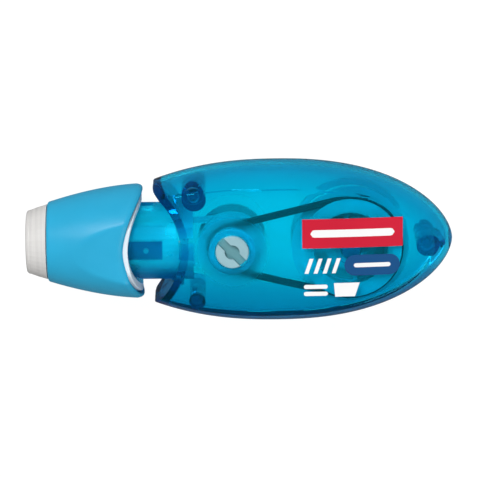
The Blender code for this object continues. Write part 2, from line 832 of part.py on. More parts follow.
def build_supply(materials, parent):
    hub = 3.9 * MM
    flange_top = SPOOL_LOW + FLANGE
    spool = turned(
        "supply_spool",
        [
            (hub, SPOOL_HUB_TOP),
            (hub, flange_top),
            (SUPPLY_FLANGE_RADIUS, flange_top),
            (SUPPLY_FLANGE_RADIUS, SPOOL_LOW),
            (SUPPLY_BORE, SPOOL_LOW),
            (SUPPLY_BORE, SPOOL_HUB_TOP),
        ],
    )
    core = ring("tape_core", 4.0 * MM, 5.1 * MM, flange_top + 0.1 * MM, TAPE_HIGH + 0.1 * MM, 0.0, 32)
    roll = ring("tape_roll", 5.2 * MM, SUPPLY_ROLL_RADIUS, TAPE_LOW, TAPE_HIGH, 0.0)
    cover_low = SPOOL_HUB_TOP + 0.15 * MM
    cover = ring("spool_cover", SUPPLY_BORE, 13.0 * MM, cover_low, cover_low + FLANGE, 0.0)

    seat = BELT_ON_SUPPLY - BELT_THICKNESS / 2 - BELT_SEAT_GAP
    hub_low = cover_low + FLANGE + 0.1 * MM
    hub_wall = 3.6 * MM
    seat_inner = 8.6 * MM
    pulley = turned(
        "supply_pulley",
        [
            (hub_wall, PULLEY_LIP_HIGH),
            (hub_wall, PULLEY_BACK_HIGH),
            (seat_inner, PULLEY_BACK_HIGH),
            (seat_inner, PULLEY_LIP_HIGH),
            (seat + 0.9 * MM, PULLEY_LIP_HIGH),
            (seat + 0.9 * MM, PULLEY_LIP_LOW),
            (seat, PULLEY_LIP_LOW),
            (seat, PULLEY_BACK_HIGH),
            (SUPPLY_FLANGE_RADIUS, PULLEY_BACK_HIGH),
            (SUPPLY_FLANGE_RADIUS, PULLEY_BACK_LOW),
            (hub_wall, PULLEY_BACK_LOW),
            (hub_wall, hub_low),
            (SUPPLY_BORE, hub_low),
            (SUPPLY_BORE, PULLEY_LIP_HIGH),
        ],
    )
    openings = as_cutter(
        ring("pulley_openings", 5.9 * MM, 8.2 * MM, PULLEY_BACK_LOW - MM, PULLEY_BACK_HIGH + MM, 0.0)
    )
    openings.parent = parent
    spoke_half = 0.55 * MM
    for i in range(2):
        spoke = box(
            f"pulley_spoke_{i}",
            (-10.0 * MM, -spoke_half, PULLEY_BACK_LOW - 2 * MM),
            (10.0 * MM, spoke_half, PULLEY_BACK_HIGH + 2 * MM),
        )
        spoke.rotation_euler = (0.0, 0.0, math.radians(8 + 90 * i))
        spoke.parent = parent
        cut(openings, as_cutter(spoke))
    cut(pulley, openings)
    for obj, material in (
        (spool, materials["frost"]),
        (core, materials["white"]),
        (roll, materials["tape"]),
        (cover, materials["frost"]),
        (pulley, materials["pulley"]),
    ):
        obj.parent = parent
        as_part(obj, material)


def build_takeup(materials, parent):
    hub = 3.3 * MM
    flange_top = SPOOL_LOW + FLANGE
    bore = 1.7 * MM
    bore_top = 12.4 * MM
    shaft_low = SPOOL_HUB_TOP
    spool = turned(
        "takeup_spool",
        [
            (0.0, HEAD_TOP),
            (HEAD_RADIUS - 0.2 * MM, HEAD_TOP),
            (HEAD_RADIUS, HEAD_TOP - 0.2 * MM),
            (HEAD_RADIUS, shaft_low),
            (hub, shaft_low),
            (hub, flange_top),
            (TAKEUP_FLANGE_RADIUS, flange_top),
            (TAKEUP_FLANGE_RADIUS, SPOOL_LOW),
            (bore, SPOOL_LOW),
            (bore, bore_top),
            (0.0, bore_top),
        ],
    )
    slot_floor = HEAD_TOP - HEAD_SLOT_DEPTH
    above = HEAD_TOP + MM
    slot = box("head_slot", (-5.0 * MM, -HEAD_SLOT_HALF, slot_floor), (5.0 * MM, HEAD_SLOT_HALF, above))
    slot.rotation_euler = (0.0, 0.0, HEAD_SLOT_TURN)
    slot.parent = parent
    eye = rod("head_eye", HEAD_EYE_RADIUS, slot_floor, above, (0.0, 0.0), 24)
    eye.parent = parent
    cut(spool, as_cutter(slot), as_cutter(eye))

    roll = ring("takeup_roll", 3.4 * MM, TAKEUP_ROLL_RADIUS, TAPE_LOW, TAPE_HIGH, 0.0, 32)
    seat = BELT_ON_TAKEUP - BELT_THICKNESS / 2 - BELT_SEAT_GAP
    pulley_bore = HEAD_RADIUS + 0.1 * MM
    foot = TAPE_HIGH + 0.3 * MM
    pulley = turned(
        "takeup_pulley",
        [
            (seat + 0.8 * MM, PULLEY_LIP_HIGH),
            (seat + 0.8 * MM, PULLEY_LIP_LOW),
            (seat, PULLEY_LIP_LOW),
            (seat, PULLEY_BACK_HIGH),
            (6.3 * MM, PULLEY_BACK_HIGH),
            (6.3 * MM, PULLEY_BACK_LOW),
            (seat, PULLEY_BACK_LOW),
            (seat, foot + FLANGE),
            (TAKEUP_FLANGE_RADIUS, foot + FLANGE),
            (TAKEUP_FLANGE_RADIUS, foot),
            (pulley_bore, foot),
            (pulley_bore, PULLEY_LIP_HIGH),
        ],
        steps=36,
    )
    for obj, material in (
        (spool, materials["white"]),
        (roll, materials["ribbon"]),
        (pulley, materials["pulley"]),
    ):
        obj.parent = parent
        as_part(obj, material)


def belt_loop(grow, count=20):
    """Plan outline of an open belt round both pulleys, grow away from its centre line."""
    supply_radius = BELT_ON_SUPPLY + grow
    takeup_radius = BELT_ON_TAKEUP + grow
    lean = math.asin((supply_radius - takeup_radius) / (SUPPLY_X - TAKEUP_X))
    edge = math.radians(90) + lean
    big = arc((SUPPLY_X, 0.0), supply_radius, -edge, edge, count)
    small = arc((TAKEUP_X, 0.0), takeup_radius, edge, 2 * math.pi - edge, count // 2)
    return big + small


def build_belt(material):
    half = BELT_THICKNESS / 2
    belt = extruded("drive_belt", [belt_loop(half), belt_loop(-half)], BELT_LOW, BELT_HIGH)
    as_part(belt, material)


def build_ribbon(materials):
    """The tape as it runs from the supply roll to the tip, and the bare ribbon going back."""
    thick = 0.2 * MM
    lead = 0.15 * MM
    tip_radius = TIP_ROUND + lead + thick / 2
    neck_y = BLADE_ROOT_HALF + lead + thick / 2 + 0.05 * MM
    slope = math.atan2(BLADE_ROOT_HALF - TIP_ROUND, BLADE_ROOT_X - TIP_CENTRE_X)
    supply_y = SUPPLY_ROLL_RADIUS + thick / 2 + 0.05 * MM
    takeup_y = TAKEUP_ROLL_RADIUS + thick / 2 + 0.05 * MM
    turn = math.radians(90) + slope

    def band(name, points, material):
        """Gives a line of points the ribbon's thickness, square to each stretch."""
        left, right = [], []
        for i, (x, y) in enumerate(points):
            before = Vector(points[max(i - 1, 0)])
            after = Vector(points[min(i + 1, len(points) - 1)])
            along = (after - before).normalized()
            left.append((x - along.y * thick / 2, y + along.x * thick / 2))
            right.append((x + along.y * thick / 2, y - along.x * thick / 2))
        strip = extruded(name, [left + right[::-1]], TAPE_LOW, TAPE_HIGH)
        as_part(strip, material)

    round_tip = arc((TIP_CENTRE_X, 0.0), tip_radius, 2 * math.pi - turn, turn, 10)
    below = (BLADE_ROOT_X, -neck_y)
    above = (BLADE_ROOT_X, neck_y)
    fed = [tangent_point(SUPPLY_X, supply_y, below, -1), below] + round_tip[:7]
    returned = round_tip[7:] + [above, tangent_point(TAKEUP_X, takeup_y, above, 1)]
    band("coated_tape_run", fed, materials["tape"])
    band("bare_ribbon_run", returned, materials["ribbon"])


def empty(name, place, parent=None):
    obj = bpy.data.objects.new(name, None)
    obj.location = place
    obj.empty_display_size = 0.005
    obj.parent = parent
    PARTS.objects.link(obj)
    return obj


def main():
    clear_blue = plastic("clear_blue", (0.0, 0.32, 0.56), 0.12, 0.5)
    neck_blue = plastic("neck_blue", (0.0, 0.25, 0.45), 0.12, 0.5)
    sleeve_blue = plastic("sleeve_blue", (0.05, 0.42, 0.72), 0.35)
    materials = {
        "white": plastic("white", (0.75, 0.78, 0.8), 0.4),
        "frost": plastic("frost", (0.7, 0.78, 0.8), 0.45),
        "tape": plastic("tape", (0.85, 0.86, 0.87), 0.6),
        "ribbon": plastic("ribbon", (0.6, 0.68, 0.72), 0.4),
        "pulley": plastic("pulley", (0.1, 0.5, 0.6), 0.3),
    }
    rubber = plastic("rubber", (0.02, 0.015, 0.03), 0.6)

    guard_axis = empty("nose_guard_slide", (NOSE_X, 0.0, AXIS_Z))
    sleeve_axis = empty("twist_sleeve_axis", (SLEEVE_FRONT_X, 0.0, AXIS_Z))
    supply_axis = empty("supply_spool_axis", (SUPPLY_X, 0.0, 0.0))
    takeup_axis = empty("takeup_spool_axis", (TAKEUP_X, 0.0, 0.0))

    build_case(clear_blue)
    build_neck(neck_blue)
    build_tip_carrier(materials["white"])
    build_applicator_tip(materials["white"])
    build_nose_guard(materials["frost"], guard_axis)
    build_sleeve(sleeve_blue, sleeve_axis)
    build_lining(materials["white"], sleeve_axis)
    build_supply(materials, supply_axis)
    build_takeup(materials, takeup_axis)
    build_belt(rubber)
    build_ribbon(materials)
    for axis in (guard_axis, sleeve_axis):
        for child in axis.children:
            child.matrix_parent_inverse = Matrix.Translation(-axis.location)


main()
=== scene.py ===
"""Looks of the twist-action correction tape roller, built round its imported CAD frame.

Metres, +Z up. The roller lies on its flat back with the nose towards -X.
"""

import math

import bmesh
import bpy
import numpy as np
from mathutils import Matrix, Vector


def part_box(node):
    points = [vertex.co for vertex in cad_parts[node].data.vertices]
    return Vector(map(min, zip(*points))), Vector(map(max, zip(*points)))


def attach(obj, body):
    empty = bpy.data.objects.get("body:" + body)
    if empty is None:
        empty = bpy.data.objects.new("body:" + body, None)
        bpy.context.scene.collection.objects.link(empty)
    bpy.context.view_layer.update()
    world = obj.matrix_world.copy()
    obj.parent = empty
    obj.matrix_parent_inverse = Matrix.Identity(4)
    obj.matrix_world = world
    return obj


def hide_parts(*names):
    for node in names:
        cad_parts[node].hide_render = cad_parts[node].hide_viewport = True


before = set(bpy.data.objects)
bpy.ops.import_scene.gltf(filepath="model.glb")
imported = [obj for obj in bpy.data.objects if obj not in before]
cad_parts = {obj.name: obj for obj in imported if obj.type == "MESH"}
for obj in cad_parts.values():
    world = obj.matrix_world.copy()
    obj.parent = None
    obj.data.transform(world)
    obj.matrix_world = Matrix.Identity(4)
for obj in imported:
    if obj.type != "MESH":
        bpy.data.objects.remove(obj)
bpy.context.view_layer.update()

MM = 0.001


# --- Places read from the frame ---------------------------------------------------------


def middle(node):
    low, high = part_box(node)
    return (Vector(low) + Vector(high)) / 2


def low_corner(node):
    return Vector(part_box(node)[0])


def high_corner(node):
    return Vector(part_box(node)[1])


AXIS_Z = middle("nose_guard").z
TAIL_X = high_corner("front_shell").x
SUPPLY_X = middle("supply_spool").x
TAKEUP_X = middle("takeup_spool").x
HUB_TOP = high_corner("takeup_spool").z
CROWN_TOP = high_corner("front_shell").z
CASE_RADIUS = high_corner("back_shell").y
JAW_X = low_corner("back_shell").x
SLEEVE_FRONT_X = low_corner("twist_sleeve").x

# --- Shape of the case and sleeve, within about a millimetre of the CAD parts they replace ---

WALL = 1.4 * MM
TAIL_WALL = 1.3 * WALL
SPLIT_GAP = 0.05 * MM  # each shell stands this far off the plane between them
CASE_WIDEST_X = 9.0 * MM
CASE_DROP_X = -20.2 * MM
CASE_JAW_DROP = 4.65 * MM
CASE_JAW_POWER = 2.35
CASE_TAIL_POWER = 2.3
CASE_TAIL_ROOT = 0.58
CROWN_X = 13.0 * MM
CROWN_RADIUS = 215.0 * MM
CREASE = 0.16 * MM  # softness of the edge between a panel and the side
RIM = 0.3 * MM  # rounding of the case's edge at the mouth

# The mouth is a round hollow in the case's end, and the jaws are the two tips beside it.
MOUTH_RADIUS = 17.3 * MM
MOUTH_CENTRE_X = -13.5 * MM - MOUTH_RADIUS
MOUTH_WALL = 1.8 * MM
JAW_ROUND = 0.9 * MM

# A shallow hollow in each panel, an ellipse cut by a flattened ball.
DIMPLE_X = -9.0 * MM
DIMPLE_HALF_LENGTH = 20.6 * MM
DIMPLE_HALF_WIDTH = 8.5 * MM
DIMPLE_DEPTH = 0.6 * MM
DIMPLE_BALL = 3.0 * MM
DIMPLE_EDGE = 0.03 * MM  # softness of the hollow's edge

# The neck's hole in the mouth: round, with a flat front and back.
NECK_HOLE = 9.2 * MM
NECK_HOLE_FLAT = 7.55 * MM

# The sleeve and its lining. The back end of each is a saddle, deepest at front and back.
SLEEVE_BACK_X = -22.6 * MM
SLEEVE_RADIUS = 13.45 * MM
SLEEVE_DROP = 4.15 * MM
SLEEVE_POWER = 1.68
SLEEVE_WALL = 0.9 * MM
SLEEVE_FLAT = 11.2 * MM
SLEEVE_FLAT_WALL = 0.6 * MM
SLEEVE_FLAT_CREASE = 0.12 * MM
SLEEVE_EDGE = 0.3 * MM
SLEEVE_LIP_BORE = 8.05 * MM
SLEEVE_LIP = 1.2 * MM
SLEEVE_LIP_ROUND = 0.15 * MM
SLEEVE_RIM = (1.7 * MM, 0.7 * MM)  # along and across the wall, as for the lining
SADDLE_DEEPEST_X = -26.85 * MM
SADDLE_DEPTH = 4.6 * MM
SADDLE_POWER = 1.9
LINING_FRONT_X = -36.6 * MM
LINING_FRONT_RADIUS = 10.45 * MM
LINING_TAPER = 6.6 * MM
LINING_RADIUS = 11.7 * MM
LINING_BORE = 10.05 * MM
LINING_GAP = 0.1 * MM
LINING_RIM = (0.2 * MM, 0.2 * MM)
LINING_DEEPEST_X = -25.7 * MM
LINING_DEPTH = 3.2 * MM

# Bosses, as (x, y, radius), with a pin of the back shell in a hole of the front shell.
BOSSES = (
    (-10.2 * MM, 12.3 * MM, 2.8 * MM),
    (-9.7 * MM, -12.3 * MM, 1.9 * MM),
    (43.8 * MM, 0.0, 2.5 * MM),
)
BOSS_REACH = 9.6 * MM
TAIL_BOSS_SHARE = 0.7  # the case is thinner at the tail, and so is its boss
RIB_HALF = 0.6 * MM
TAIL_RIB_END = 2.6 * MM
PIN_RADIUS = 1.15 * MM
PIN_HOLE = 1.35 * MM
PIN_ROOT = 3.0 * MM
PIN_TOP = 4.8 * MM
PIN_HOLE_ROOT = 1.0 * MM
PIN_HOLE_TOP = 5.8 * MM

# Posts of the back shell that the spools turn on, as (x, radius, height of the top).
POST_ROOT = 0.7 * MM
POSTS = {
    "supply_shoulder": (SUPPLY_X, 3.4 * MM, 7.3 * MM),
    "supply_post": (SUPPLY_X, 2.2 * MM, 20.1 * MM),
    "takeup_shoulder": (TAKEUP_X, 3.0 * MM, 7.3 * MM),
    "takeup_post": (TAKEUP_X, 1.5 * MM, 12.0 * MM),
}

# The front shell's socket for the supply post, and the window over the take-up spool.
SOCKET_RADIUS = 3.5 * MM
SOCKET_LOW = 19.55 * MM
SOCKET_HIGH = 21.2 * MM
SOCKET_HOLE_RADIUS = 2.35 * MM
SOCKET_HOLE_LOW = 19.0 * MM
SOCKET_HOLE_HIGH = 20.7 * MM
WINDOW_RADIUS = 4.1 * MM
WINDOW_LOW = 18.0 * MM
WINDOW_HIGH = 30.0 * MM
BEZEL_RADIUS = 5.5 * MM
BEZEL_LOW = 19.6 * MM
BEZEL_TOP = 21.9 * MM
BEZEL_ROUND = 0.35 * MM
BEZEL_PROFILE = (
    (WINDOW_RADIUS - 1 * MM, BEZEL_TOP),
    (BEZEL_RADIUS - BEZEL_ROUND, BEZEL_TOP),
    (BEZEL_RADIUS - 0.3 * BEZEL_ROUND, BEZEL_TOP - 0.3 * BEZEL_ROUND),
    (BEZEL_RADIUS, BEZEL_TOP - BEZEL_ROUND),
    (BEZEL_RADIUS, BEZEL_LOW),
    (WINDOW_RADIUS - 1 * MM, BEZEL_LOW),
)

HALVINGS = 60  # enough to close in on a place to the last digit


def soft_min(a, b, blend):
    """The smaller of two distances, with the crease between them rounded."""
    return -blend * np.logaddexp(-a / blend, -b / blend)


def case_radius(x):
    """Half width of the case: it narrows towards the jaws, and rounds off at the tail."""
    front_share = np.clip((CASE_WIDEST_X - x) / (CASE_WIDEST_X - CASE_DROP_X), 0.0, None)
    tail_share = np.clip((x - CASE_WIDEST_X) / (TAIL_X - CASE_WIDEST_X), 0.0, 1.0)
    swell = (1.0 - tail_share**CASE_TAIL_POWER) ** CASE_TAIL_ROOT
    return CASE_RADIUS * swell - CASE_JAW_DROP * front_share**CASE_JAW_POWER


def sleeve_radius(x):
    share = np.clip((SLEEVE_BACK_X - x) / (SLEEVE_BACK_X - SLEEVE_FRONT_X), 0.0, None)
    return SLEEVE_RADIUS - SLEEVE_DROP * share**SLEEVE_POWER


def crown(x, drop=0.0):
    """Height of the front panel above the axis, or of a surface a drop under it."""
    radius = CROWN_RADIUS - drop
    return CROWN_TOP - CROWN_RADIUS + np.sqrt(radius**2 - (x - CROWN_X) ** 2) - AXIS_Z


def dimple_depth(x, y):
    rise = DIMPLE_BALL - DIMPLE_DEPTH
    spread = 1.0 / math.sqrt(1.0 - (rise / DIMPLE_BALL) ** 2)
    along = (x - DIMPLE_X) / (DIMPLE_HALF_LENGTH * spread)
    across = y / (DIMPLE_HALF_WIDTH * spread)
    ball = DIMPLE_BALL * np.sqrt(np.clip(1.0 - along**2 - across**2, 0.0, None)) - rise
    return DIMPLE_EDGE * np.logaddexp(0.0, ball / DIMPLE_EDGE)


def front_panel(x, y, drop=0.0):
    """Height of the hollowed front panel above the axis."""
    return crown(x, drop) - dimple_depth(x, y)


def back_panel(x, y, drop=0.0):
    """Depth of the flat back under the axis, hollowed like the front."""
    return AXIS_Z - drop - dimple_depth(x, y)


def jaw_circle(centre_x, radius, round_radius, outline):
    """Centre of the circle that rounds a jaw's tip between a hollow arc and an outline."""
    low, high = 0.0, radius
    reach = radius + round_radius
    for _ in range(HALVINGS):
        y = (low + high) / 2
        x = centre_x + math.sqrt(max(reach**2 - y**2, 0.0))
        if y + round_radius < outline(x):
            low = y
        else:
            high = y
    return x, y


def hollow_end(centre_x, radius, round_radius, outline):
    """x of a hollow end as a function of y, with rounded jaw tips."""
    tip_x, tip_y = jaw_circle(centre_x, radius, round_radius, outline)
    turn_y = tip_y * radius / (radius + round_radius)

    def end(y):
        y = np.abs(y)
        hollow = centre_x + np.sqrt(np.clip(radius**2 - y**2, 0.0, None))
        tip = tip_x - np.sqrt(np.clip(round_radius**2 - (y - tip_y) ** 2, 0.0, None))
        return np.where(y < turn_y, hollow, tip)

    return end


def settle(end, reach, angle, start):
    """x where a surface of revolution, reach(x, angle), meets an end that depends on y."""
    x = np.full_like(angle, start)
    for _ in range(HALVINGS):
        x = 0.5 * x + 0.5 * end(reach(x, angle) * np.sin(angle))
    return x


def saddle(deepest, depth):
    """x of a saddle-shaped end as a function of the angle from the front."""

    def end(angle):
        return deepest + depth * np.abs(np.sin(angle)) ** SADDLE_POWER

    return end


# --- Mesh helpers -------------------------------------------------------------------------

SHARP = 38  # degrees between two faces that stay an edge
SHARP_SHELL = 30
WELD = 0.002 * MM


def mesh_object(name, shape, sharp=SHARP):
    """Turns a bmesh into a linked object with its faces pointing out."""
    mesh = bpy.data.meshes.new(name)
    bmesh.ops.remove_doubles(shape, verts=shape.verts, dist=WELD)
    bmesh.ops.recalc_face_normals(shape, faces=shape.faces)
    shape.to_mesh(mesh)
    shape.free()
    mesh.shade_smooth()
    mesh.set_sharp_from_angle(angle=math.radians(sharp))
    obj = bpy.data.objects.new(name, mesh)
    bpy.context.scene.collection.objects.link(obj)
    return obj


def loft(name, rings, around=True, sharp=SHARP):
    """Joins rings of points, each a closed profile, into one closed body.

    With around the last ring joins the first; without it both end rings are capped.
    """
    shape = bmesh.new()
    rows = [[shape.verts.new(point) for point in ring] for ring in rings]
    count = len(rows[0])
    pairs = list(zip(rows, rows[1:] + rows[:1])) if around else list(zip(rows, rows[1:]))
    for row, following in pairs:
        for i in range(count):
            j = (i + 1) % count
            shape.faces.new((row[i], row[j], following[j], following[i]))
    if not around:
        shape.faces.new(rows[0])
        shape.faces.new(list(reversed(rows[-1])))
    return mesh_object(name, shape, sharp)


def on_axis(x, radius, angle):
    """World points at a radius and an angle from the front, about the neck axis."""
    return np.stack([x, radius * np.sin(angle), AXIS_Z + radius * np.cos(angle)], axis=-1)


def turned(name, profile, centre, steps):
    """A body of revolution about Z from (radius, z) pairs; a ring unless it starts at radius 0."""
    rings = []
    for i in range(steps):
        across, along = math.cos(2 * math.pi * i / steps), math.sin(2 * math.pi * i / steps)
        rings.append([(r * across + centre[0], r * along + centre[1], z) for r, z in profile])
    if profile[0][0] > 0:
        return loft(name, rings)
    shape = bmesh.new()
    rows = [[shape.verts.new(point) for point in points] for points in rings]
    for row, following in zip(rows, rows[1:] + rows[:1]):
        for i in range(len(profile) - 1):
            shape.faces.new((row[i], row[i + 1], following[i + 1], following[i]))
    return mesh_object(name, shape)


def rod(name, radius, low, high, centre, steps=64):
    return turned(name, [(0.0, high), (radius, high), (radius, low), (0.0, low)], centre, steps)


def block(name, low, high):
    shape = bmesh.new()
    low, high = Vector(low), Vector(high)
    size = Matrix.Diagonal((*(high - low), 1.0))
    bmesh.ops.create_cube(shape, size=1.0, matrix=Matrix.Translation((low + high) / 2) @ size)
    return mesh_object(name, shape)


def combine(obj, other, operation):
    """Applies one exact Boolean and removes the tool."""
    modifier = obj.modifiers.new(operation.lower(), "BOOLEAN")
    modifier.operation = operation
    modifier.solver = "EXACT"
    modifier.object = other
    bpy.context.view_layer.update()
    evaluated = obj.evaluated_get(bpy.context.evaluated_depsgraph_get())
    result = bpy.data.meshes.new_from_object(evaluated)
    obj.modifiers.clear()
    old = obj.data
    obj.data = result
    bpy.data.meshes.remove(old)
    bpy.data.objects.remove(other, do_unlink=True)
    return obj


def reshade(obj, sharp):
    obj.data.shade_smooth()
    obj.data.set_sharp_from_angle(angle=math.radians(sharp))
    return obj


def united(pieces):
    """One tool out of several that may overlap."""
    whole = pieces[0]
    for piece in pieces[1:]:
        combine(whole, piece, "UNION")
    return whole


# --- Materials -----------------------------------------------------------------------------


NOISE_LOW, NOISE_HIGH = 0.3, 0.7  # between these lies most of a noise


class Nodes:
    """A material's node tree, with short calls to add and join nodes."""

    def __init__(self, name):
        self.material = bpy.data.materials.new(name)
        self.material.use_nodes = True
        self.tree = self.material.node_tree
        self.shader = self.tree.nodes["Principled BSDF"]
        self.output = self.tree.nodes["Material Output"]
        self.place = self.tree.nodes.new("ShaderNodeTexCoord").outputs["Object"]

    def add(self, kind, **settings):
        node = self.tree.nodes.new(kind)
        for key, value in settings.items():
            setattr(node, key, value)
        return node

    def join(self, source, target):
        self.tree.links.new(source, target)

    def noise(self, scale, detail=2.0, stretch=None):
        source = self.place
        if stretch:
            mapping = self.add("ShaderNodeMapping")
            mapping.inputs["Scale"].default_value = stretch
            self.join(source, mapping.inputs["Vector"])
            source = mapping.outputs["Vector"]
        noise = self.add("ShaderNodeTexNoise")
        noise.inputs["Scale"].default_value = scale
        noise.inputs["Detail"].default_value = detail
        self.join(source, noise.inputs["Vector"])
        return noise.outputs["Fac"]

    def ramp(self, source, stops):
        ramp = self.add("ShaderNodeValToRGB")
        elements = ramp.color_ramp.elements
        while len(elements) < len(stops):
            elements.new(0.5)
        for element, (position, colour) in zip(elements, stops):
            element.position = position
            element.color = (*colour, 1.0)
        self.join(source, ramp.inputs["Fac"])
        return ramp.outputs["Color"]

    def fade(self, source, start, end, low, high):
        """A value that goes smoothly from low to high as the source goes from start to end."""
        remap = self.add("ShaderNodeMapRange", interpolation_type="SMOOTHSTEP")
        for key, value in (("From Min", start), ("From Max", end), ("To Min", low), ("To Max", high)):
            remap.inputs[key].default_value = value
        self.join(source, remap.inputs["Value"])
        return remap.outputs["Result"]

    def distance(self, centre, axes):
        """Distance from a place, with each axis scaled first; a scale of 0 leaves it out."""
        offset = self.add("ShaderNodeVectorMath", operation="SUBTRACT")
        self.join(self.place, offset.inputs[0])
        offset.inputs[1].default_value = centre
        scaled = self.add("ShaderNodeVectorMath", operation="MULTIPLY")
        self.join(offset.outputs["Vector"], scaled.inputs[0])
        scaled.inputs[1].default_value = axes
        length = self.add("ShaderNodeVectorMath", operation="LENGTH")
        self.join(scaled.outputs["Vector"], length.inputs[0])
        return length.outputs["Value"]

    def along(self, axis):
        split = self.add("ShaderNodeSeparateXYZ")
        self.join(self.place, split.inputs["Vector"])
        return split.outputs[axis]

    def both(self, first, second, operation="MULTIPLY"):
        maths = self.add("ShaderNodeMath", operation=operation)
        self.join(first, maths.inputs[0])
        self.join(second, maths.inputs[1])
        return maths.outputs["Value"]

    def tinted(self, colour, mask, tint):
        """Multiplies a colour by a tint where the mask is 1."""
        mix = self.add("ShaderNodeMix", data_type="RGBA", blend_type="MULTIPLY")
        self.join(mask, mix.inputs["Factor"])
        self.join(colour, mix.inputs[6])
        mix.inputs[7].default_value = (*tint, 1.0)
        return mix.outputs[2]

    def spread(self, source, low, high, target):
        """Maps the middle of a 0 to 1 noise onto a range and feeds it to an input."""
        remap = self.add("ShaderNodeMapRange")
        remap.inputs["From Min"].default_value = NOISE_LOW
        remap.inputs["From Max"].default_value = NOISE_HIGH
        remap.inputs["To Min"].default_value = low
        remap.inputs["To Max"].default_value = high
        self.join(source, remap.inputs["Value"])
        self.join(remap.outputs["Result"], target)

    def bump(self, source, strength, distance, target):
        bump = self.add("ShaderNodeBump")
        bump.inputs["Strength"].default_value = strength
        bump.inputs["Distance"].default_value = distance
        self.join(source, bump.inputs["Height"])
        self.join(bump.outputs["Normal"], target)


def shade(colour, factor):
    return tuple(min(channel * factor, 1.0) for channel in colour)


# Clear plastic. A tint colours the surface; absorbs is per metre for red, green and blue.
CASE_TINT = (0.02, 0.84, 0.955)
CASE_ABSORBS = (1000.0, 125.0, 70.0)
CASE_ROUGHNESS = 0.06
CASE_CLARITY = 0.975
NECK_TINT = (0.02, 0.90, 0.98)
NECK_ABSORBS = (1300.0, 150.0, 45.0)
NECK_ROUGHNESS = 0.38
NECK_CLARITY = 0.92
CLEAR_SHINE = (0.02, 0.6, 0.9)
CLEAR_IOR = 1.45
SHADOW_PASS = (0.95, 0.95, 0.95, 1.0)

# Painted shade: where the plastic looks darker in this light (the mouth wall, the outline, the low side,
# the neck's guide pocket), the colour is multiplied by one of these.
MOUTH_SHADE = (0.6, 0.72, 0.84)
OUTLINE_SHADE = (0.5, 0.72, 0.82)
LOW_SIDE_SHADE = (0.7, 0.74, 0.80)
BAND_SHADE = (0.5, 0.26, 0.60)
BAND_CLARITY = 0.6
POCKET_SHADE = (0.3, 0.34, 0.55)
NECK_LOW_SHADE = (0.4, 0.46, 0.66)
OVAL_HALF_LENGTH = 42.5 * MM
PIP_X = -21.5 * MM
HUB_FROST = 0.4
HUB_FROST_FULL = 6.5 * MM
HUB_FROST_END = 10.0 * MM

ACROSS_PLAN = (1.0, 1.0, 0.0)  # measures a distance seen from above
BUMP_HEIGHT = 0.1 * MM
SUBSURFACE_DEPTH = 0.8 * MM


def two_tone(nodes, scale, detail, dark, light):
    """A colour that drifts between two tones with a noise."""
    return nodes.ramp(nodes.noise(scale, detail), [(NOISE_LOW, dark), (NOISE_HIGH, light)])


def moulded(
    name, colour, roughness, variation=0.06, specular=0.35, grain=900.0, bump=0.02, subsurface=0.0
):
    """Opaque moulded plastic: faint flow variation, fine surface grain."""
    nodes = Nodes(name)
    shader = nodes.shader
    flow = two_tone(nodes, 60.0, 3.0, shade(colour, 1 - variation), shade(colour, 1 + variation))
    nodes.join(flow, shader.inputs["Base Color"])
    nodes.spread(nodes.noise(240.0), roughness * 0.85, roughness * 1.15, shader.inputs["Roughness"])
    shader.inputs["Specular IOR Level"].default_value = specular
    if subsurface:
        shader.inputs["Subsurface Weight"].default_value = subsurface
        shader.inputs["Subsurface Radius"].default_value = (1.0, 1.0, 1.0)
        shader.inputs["Subsurface Scale"].default_value = SUBSURFACE_DEPTH
    nodes.bump(nodes.noise(grain, 1.0), bump, BUMP_HEIGHT, shader.inputs["Normal"])
    return nodes


def clear_plastic(name, tint, absorbs, roughness, clarity):
    """See-through plastic, tinted at its surface and through its thickness.

    absorbs is what it takes from red, green and blue light, per metre. clarity is the
    share of light that passes its surface unscattered.
    """
    nodes = Nodes(name)
    shader = nodes.shader
    nodes.colour = two_tone(nodes, 45.0, 3.0, shade(tint, 0.95), tint)
    nodes.join(nodes.colour, shader.inputs["Base Color"])
    shader.inputs["IOR"].default_value = CLEAR_IOR
    shader.inputs["Transmission Weight"].default_value = clarity
    shader.inputs["Specular Tint"].default_value = (*CLEAR_SHINE, 1.0)
    nodes.bump(nodes.noise(110.0, 2.0), 0.03, BUMP_HEIGHT, shader.inputs["Normal"])
    nodes.rough = nodes.fade(nodes.noise(160.0), NOISE_LOW, NOISE_HIGH, roughness * 0.7, roughness * 1.3)
    nodes.join(nodes.rough, shader.inputs["Roughness"])
    light_path = nodes.add("ShaderNodeLightPath")
    through = nodes.add("ShaderNodeBsdfTransparent")
    through.inputs["Color"].default_value = SHADOW_PASS
    mix = nodes.add("ShaderNodeMixShader")
    nodes.join(light_path.outputs["Is Shadow Ray"], mix.inputs["Fac"])
    nodes.join(shader.outputs["BSDF"], mix.inputs[1])
    nodes.join(through.outputs["BSDF"], mix.inputs[2])
    nodes.join(mix.outputs["Shader"], nodes.output.inputs["Surface"])
    volume = nodes.add("ShaderNodeVolumeAbsorption")
    density = max(absorbs) * 1.02  # a little over the largest, so that no colour reaches 0
    volume.inputs["Density"].default_value = density
    volume.inputs["Color"].default_value = (*[1.0 - value / density for value in absorbs], 1.0)
    nodes.join(volume.outputs["Volume"], nodes.output.inputs["Volume"])
    return nodes


